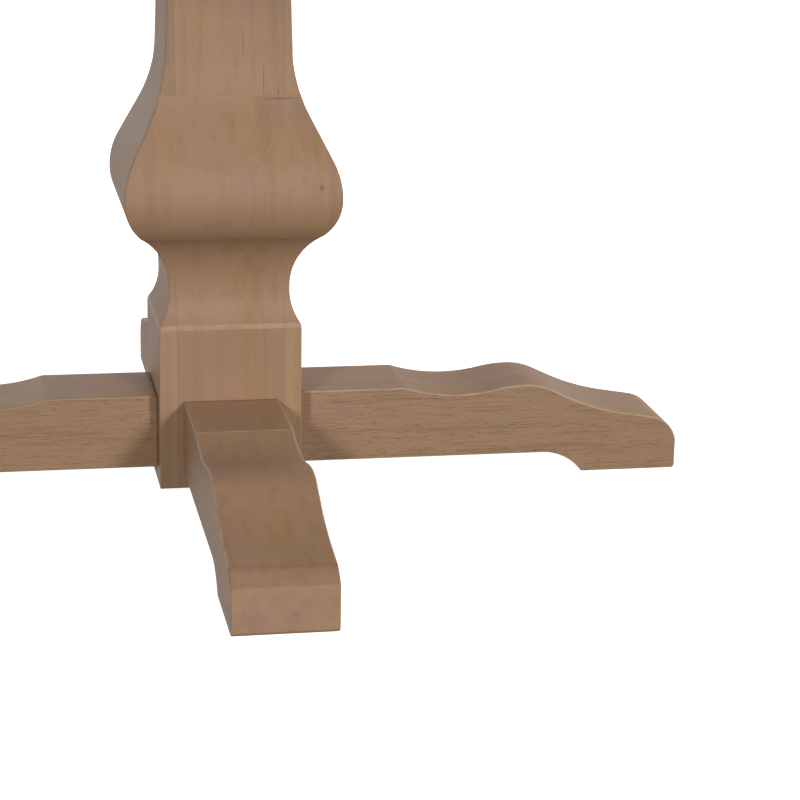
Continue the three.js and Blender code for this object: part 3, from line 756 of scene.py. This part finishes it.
def front_stave_loops():
    ease = BOARD_EASE
    half = FRONT_STAVE_HALF
    return [
        mirrored([(half - ease, -p), (half, ease - p), (half, -HOLLOW_HALF)], z) for p, z in stave_profile()
    ]


def side_stave_loops():
    """A side stave turned to the front: full width, with a rabbet down each inner corner."""
    ease = ARRIS_EASE
    lip = -(FRONT_STAVE_HALF + GLUE_GAP)
    core = HOLLOW_HALF - GLUE_GAP
    loops = []
    for p, z in stave_profile():
        corner = [(p - ease, -p), (p - ARRIS_MIDDLE * ease, ARRIS_MIDDLE * ease - p), (p, ease - p)]
        rabbet = [(p, lip - BOARD_EASE), (p - BOARD_EASE, lip), (core, lip), (core, -HOLLOW_HALF)]
        loops.append(mirrored(corner + rabbet, z))
    return loops


def bulb_block_loops():
    inner = BULB_SEAT_HALF + GLUE_GAP
    profile = split_profile(column_profile(), inner)
    loops = []
    for p, z in profile:
        if p > inner - THINNEST / 2 and UPPER_COVE_START < z < SHAFT_TOP:
            face = max(p, inner + THINNEST)
            ease = min(ARRIS_EASE, (face - inner) / 2)
            right = [
                (face - GLUE_GAP - ease, -face),
                (face - GLUE_GAP - ease / 2, ease / 2 - face),
                (inner - GLUE_GAP, -inner),
            ]
            loops.append(mirrored(right, z))
    return loops


def column_material(node, grain):
    """The column's wood, with the flaws of this piece where it has some."""
    if node not in FLAWS:
        return column_wood
    marks = [(grain.at(place), reach) for place, reach in FLAWS[node].values()]
    return wood(f"{node}_flawed", STAIN, fibre=0.06, pores=0.2, marks=marks)


def add_stave(side, quarters, across):
    node = f"{side}_stave"
    grain = Grain(UP, across, side + "stave")
    loops = front_stave_loops() if side in ("front", "back") else side_stave_loops()
    stave = loft(f"{node}_wood", loops, (column_material(node, grain), column_edge, board_side))
    stave.data.transform(turn(quarters))
    # Pale strip along the plinth's top arris: partly wear, partly a painted highlight
    paint_line(stave, RUBBED_AND_LIT, PLINTH_EASE, BLANK_HALF, PLINTH_TOP)
    if side in ("right", "left"):
        paint_sides(stave, SIDE, across, below=PLINTH_TOP)
    drill(stave, [bore_cutter(f"{side}_foot_{part}", BORE_CLEARANCE) for part in ("bolt", "dowel")])
    finish_piece(stave, node, grain)


def add_bulb_block(side, quarters, across):
    node = f"{side}_bulb_block"
    grain = Grain(UP, across, side + "block")
    block = loft(f"{node}_wood", bulb_block_loops(), (column_material(node, grain), column_edge))
    block.data.transform(turn(quarters))
    crease = min(column_profile(), key=lambda point: abs(point.y - ARRIS_HEIGHT))
    # Pale strip along the crease under the bulb: partly wear, partly a painted highlight
    paint_line(block, RUBBED_AND_LIT, CREASE_EASE, crease.x, ARRIS_HEIGHT)
    finish_piece(block, node, grain)


def add_column():
    for side, quarters in SIDES.items():
        across = turn(quarters).to_3x3() @ RIGHT
        add_stave(side, quarters, across)
        add_bulb_block(side, quarters, across)


# ---------------------------------------------------------------- feet

def add_feet():
    """The four feet. The front and right ones have the paler edges, partly wear and partly painted
    highlight, and the front ridge alone has that pale strip too.
    """
    for side, quarters in SIDES.items():
        outline = foot_outline(planed_toe if side == "front" else round_toe)
        loops = [[(x, -r, z) for r, z in outline] for x in (-FOOT_HALF, FOOT_HALF)]
        spin = turn(quarters).to_3x3()
        across = spin @ RIGHT
        # The front and right feet get the paler edges: partly wear, partly a painted highlight
        edge = rubbed_and_lit_foot_edge if side in ("front", "right") else foot_edge
        woods = (foot_wood, edge, foot_side, joint_shade_wood, lit_foot_end, shaded_foot_slope)
        foot = loft(f"{side}_foot_wood", loops, woods)
        foot.data.transform(turn(quarters))
        ease_edges(foot, FOOT_EASE)
        # The flanks take more open grain and a slightly paler colour that is painted light
        paint_sides(foot, SIDE, across, below=FOOT_TOP)
        # Painted shade on the heel strip next to the column
        paint_line(foot, SHADED, JOINT_SHADE, FOOT_HEEL, FOOT_TOP)
        # Painted light on the toe's upright end
        paint_line(foot, END, END_REACH, TOE_REACH, END_MIDDLE)
        if side == "front":
            # Pale strip on the front ridge: partly wear, partly a painted highlight
            paint_line(foot, RUBBED_AND_LIT, RIDGE_EASE, FOOT_FLAT_END, FOOT_TOP)
            # Painted shade on the planed slope of the toe
            paint_line(foot, SLOPE, SLOPE_REACH, SLOPE_PLACE, SLOPE_MIDDLE)
        parts = ("foot_bolt", "foot_dowel", "glide_sleeve", "glide")
        drill(foot, [bore_cutter(f"{side}_{part}", BORE_CLEARANCE) for part in parts])
        grain = Grain(spin @ FRONT, across, side + "foot")
        finish_piece(foot, f"{side}_foot", grain)


# ---------------------------------------------------------------- top

def board_loop(radius, front, back, z):
    """A slice of a board: the part of a circle between two lines along X."""
    low = math.asin(max(-1.0, min(1.0, front / radius)))
    high = math.asin(max(-1.0, min(1.0, back / radius)))
    angles = [low + (high - low) * step / BOARD_END_STEPS for step in range(BOARD_END_STEPS + 1)]
    right = [(radius * math.cos(a), radius * math.sin(a), z) for a in angles]
    left = [(-x, y, z) for x, y, z in reversed(right)]
    return right + left


def board_mesh(name, front, back):
    """One top board, with the rounded rim above, the bevel below and eased long edges."""
    rim = Vector((TOP_RADIUS - TOP_EDGE_RADIUS, TABLE_HEIGHT - TOP_EDGE_RADIUS))
    edge = arc_between(rim, rim + Vector((TOP_EDGE_RADIUS, 0)), rim + Vector((0, TOP_EDGE_RADIUS)))
    levels = [
        Vector((TOP_RADIUS - TOP_BEVEL_WIDTH, TOP_UNDERSIDE)),
        Vector((TOP_RADIUS, TOP_UNDERSIDE + TOP_BEVEL_HEIGHT)),
        *edge[::RIM_STEP],
    ]
    ease = BOARD_EASE
    loops = []
    for radius, z in levels:
        inset = max(0.0, ease - (TABLE_HEIGHT - z), ease - (z - TOP_UNDERSIDE))
        near = front + inset if front > -TOP_RADIUS else front
        far = back - inset if back < TOP_RADIUS else back
        loops.append(board_loop(radius, near, far, z))
    return loft(name, loops, (top_wood,))


def add_top():
    boards = [node for node in nodes if node.startswith("top_board_")]
    boards.sort(key=lambda node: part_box(node)[0].y)
    for number, node in enumerate(boards):
        low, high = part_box(node)
        front = low.y - GLUE_GAP if number else -TOP_RADIUS
        back = high.y + GLUE_GAP if number < len(boards) - 1 else TOP_RADIUS
        board = board_mesh(f"{node}_wood", front, back)
        grain = Grain(RIGHT, BACK, node)
        finish_piece(board, node, grain)


# ---------------------------------------------------------------- framing and hardware

def eased_copy(node, width):
    """A copy of a CAD node's mesh, its flat faces merged and its edges rounded."""
    bm = bmesh.new()
    bm.from_mesh(nodes[node].data)
    bmesh.ops.remove_doubles(bm, verts=bm.verts, dist=WELD_DISTANCE)
    bmesh.ops.dissolve_limit(bm, angle_limit=FLAT_ANGLE, verts=bm.verts, edges=bm.edges)
    obj = new_object(node + "_wood", bm, (inner_wood, inner_wood))
    ease_edges(obj, width)
    return obj


def add_framing():
    """The bearers, battens and blocks, each with its grain running the long way."""
    long_way = {
        "long_bearer": RIGHT,
        "cross_bearer": BACK,
        "left_batten": BACK,
        "right_batten": BACK,
        "column_head_block": UP,
        "column_foot_block": RIGHT,
    }
    for node, along in long_way.items():
        across = RIGHT if along == UP else UP.cross(along)
        piece = eased_copy(node, ARRIS_EASE)
        finish_piece(piece, node, Grain(along, across, node))


def dress_hardware():
    """Gives the CAD nodes of the hardware and the plain inner wood their materials."""
    finishes = {"steel": steel, "nylon": nylon, "inner_wood": inner_wood}
    for entry in frame["record"]["subparts"]:
        node = nodes[entry["node"]]
        if entry["material_slot"] in finishes:
            node.data.materials.clear()
            node.data.materials.append(finishes[entry["material_slot"]])


# ---------------------------------------------------------------- floor, light and camera

CAMERA_PLACE = (-0.2871, -2.5305, 0.7968)
CAMERA_YAW = math.radians(10.871)
CAMERA_PITCH = math.radians(15.631)
CAMERA_ROLL = math.radians(1.079)
CAMERA_LENS = 107.59
CAMERA_SENSOR = 36
CAMERA_REACH = 100

FLOOR_HALF = 30.0
FLOOR_COLOUR = (0.9, 0.9, 0.9)
FLOOR_ROUGHNESS = 0.9
FLOOR_GLOW = 0.95
WHITE = (1.0, 1.0, 1.0)

LIGHT_AIM = Vector((0, -0.1, 0.28))
LIGHT_DISTANCE = 3.6

# Name, degrees to the right of the front, degrees up, watts, width, seen in sheen, lights the wood
SOFTBOXES = (
    ("key_right", 19, 15, 60, 0.45, True, True),
    ("key_left", -29, 20, 58, 0.45, True, True),
    ("side_right", 88, 14, 50, 0.45, True, True),
    ("fill_back", 170, 8, 55, 2.4, False, True),
    ("fill_left", -150, 8, 14, 2.4, False, True),
    ("overhead", 0, 90, 90, 0.8, False, True),
    ("sheen_back", -164, 16, 13, 1.6, True, False),
)


def add_camera():
    data = bpy.data.cameras.new("camera")
    data.lens = CAMERA_LENS
    data.sensor_width = CAMERA_SENSOR
    data.clip_end = CAMERA_REACH
    camera = bpy.data.objects.new("camera", data)
    bpy.context.scene.collection.objects.link(camera)
    camera.matrix_world = (
        Matrix.Translation(CAMERA_PLACE)
        @ Matrix.Rotation(-CAMERA_YAW, 4, "Z")
        @ Matrix.Rotation(math.pi / 2 - CAMERA_PITCH, 4, "X")
        @ Matrix.Rotation(CAMERA_ROLL, 4, "Z")
    )
    bpy.context.scene.camera = camera


def add_floor():
    """A white studio floor. It glows a little, so it stays pale under the table."""
    corners = ((-1, -1), (1, -1), (1, 1), (-1, 1))
    bm = bmesh.new()
    bm.faces.new([bm.verts.new((FLOOR_HALF * x, FLOOR_HALF * y, 0)) for x, y in corners])
    floor = new_object("floor", bm)
    shader = Shader("floor")
    shader.set("Base Color", rgba(FLOOR_COLOUR))
    shader.set("Roughness", FLOOR_ROUGHNESS)
    shader.set("Emission Color", rgba(WHITE))
    shader.set("Emission Strength", FLOOR_GLOW)
    floor.data.materials.append(shader.material)
    floor.visible_diffuse = False
    floor.visible_glossy = False


def softbox(name, azimuth, elevation, power, width, glossy, diffuse):
    """A soft light aimed at the column, which the camera doesn't see."""
    data = bpy.data.lights.new(name, "AREA")
    data.shape = "SQUARE"
    data.size = width
    data.energy = power
    light = bpy.data.objects.new(name, data)
    bpy.context.scene.collection.objects.link(light)
    side, rise = math.radians(azimuth), math.radians(elevation)
    away = Vector((math.cos(rise) * math.sin(side), -math.cos(rise) * math.cos(side), math.sin(rise)))
    turned = away.to_track_quat("Z", "Y").to_matrix().to_4x4()
    light.matrix_world = Matrix.Translation(LIGHT_AIM + LIGHT_DISTANCE * away) @ turned
    light.visible_camera = False
    light.visible_glossy = glossy
    light.visible_diffuse = diffuse


def add_light():
    """White surroundings for the sheen, and the softboxes. The last one only adds a sheen."""
    world = bpy.data.worlds.new("studio")
    world.use_nodes = True
    world.node_tree.nodes["Background"].inputs["Color"].default_value = rgba(WHITE)
    world.cycles_visibility.diffuse = False
    bpy.context.scene.world = world
    for settings in SOFTBOXES:
        softbox(*settings)


add_camera()
add_floor()
add_light()
add_column()
add_feet()
add_top()
add_framing()
dress_hardware()
bpy.context.scene.view_settings.view_transform = "Standard"
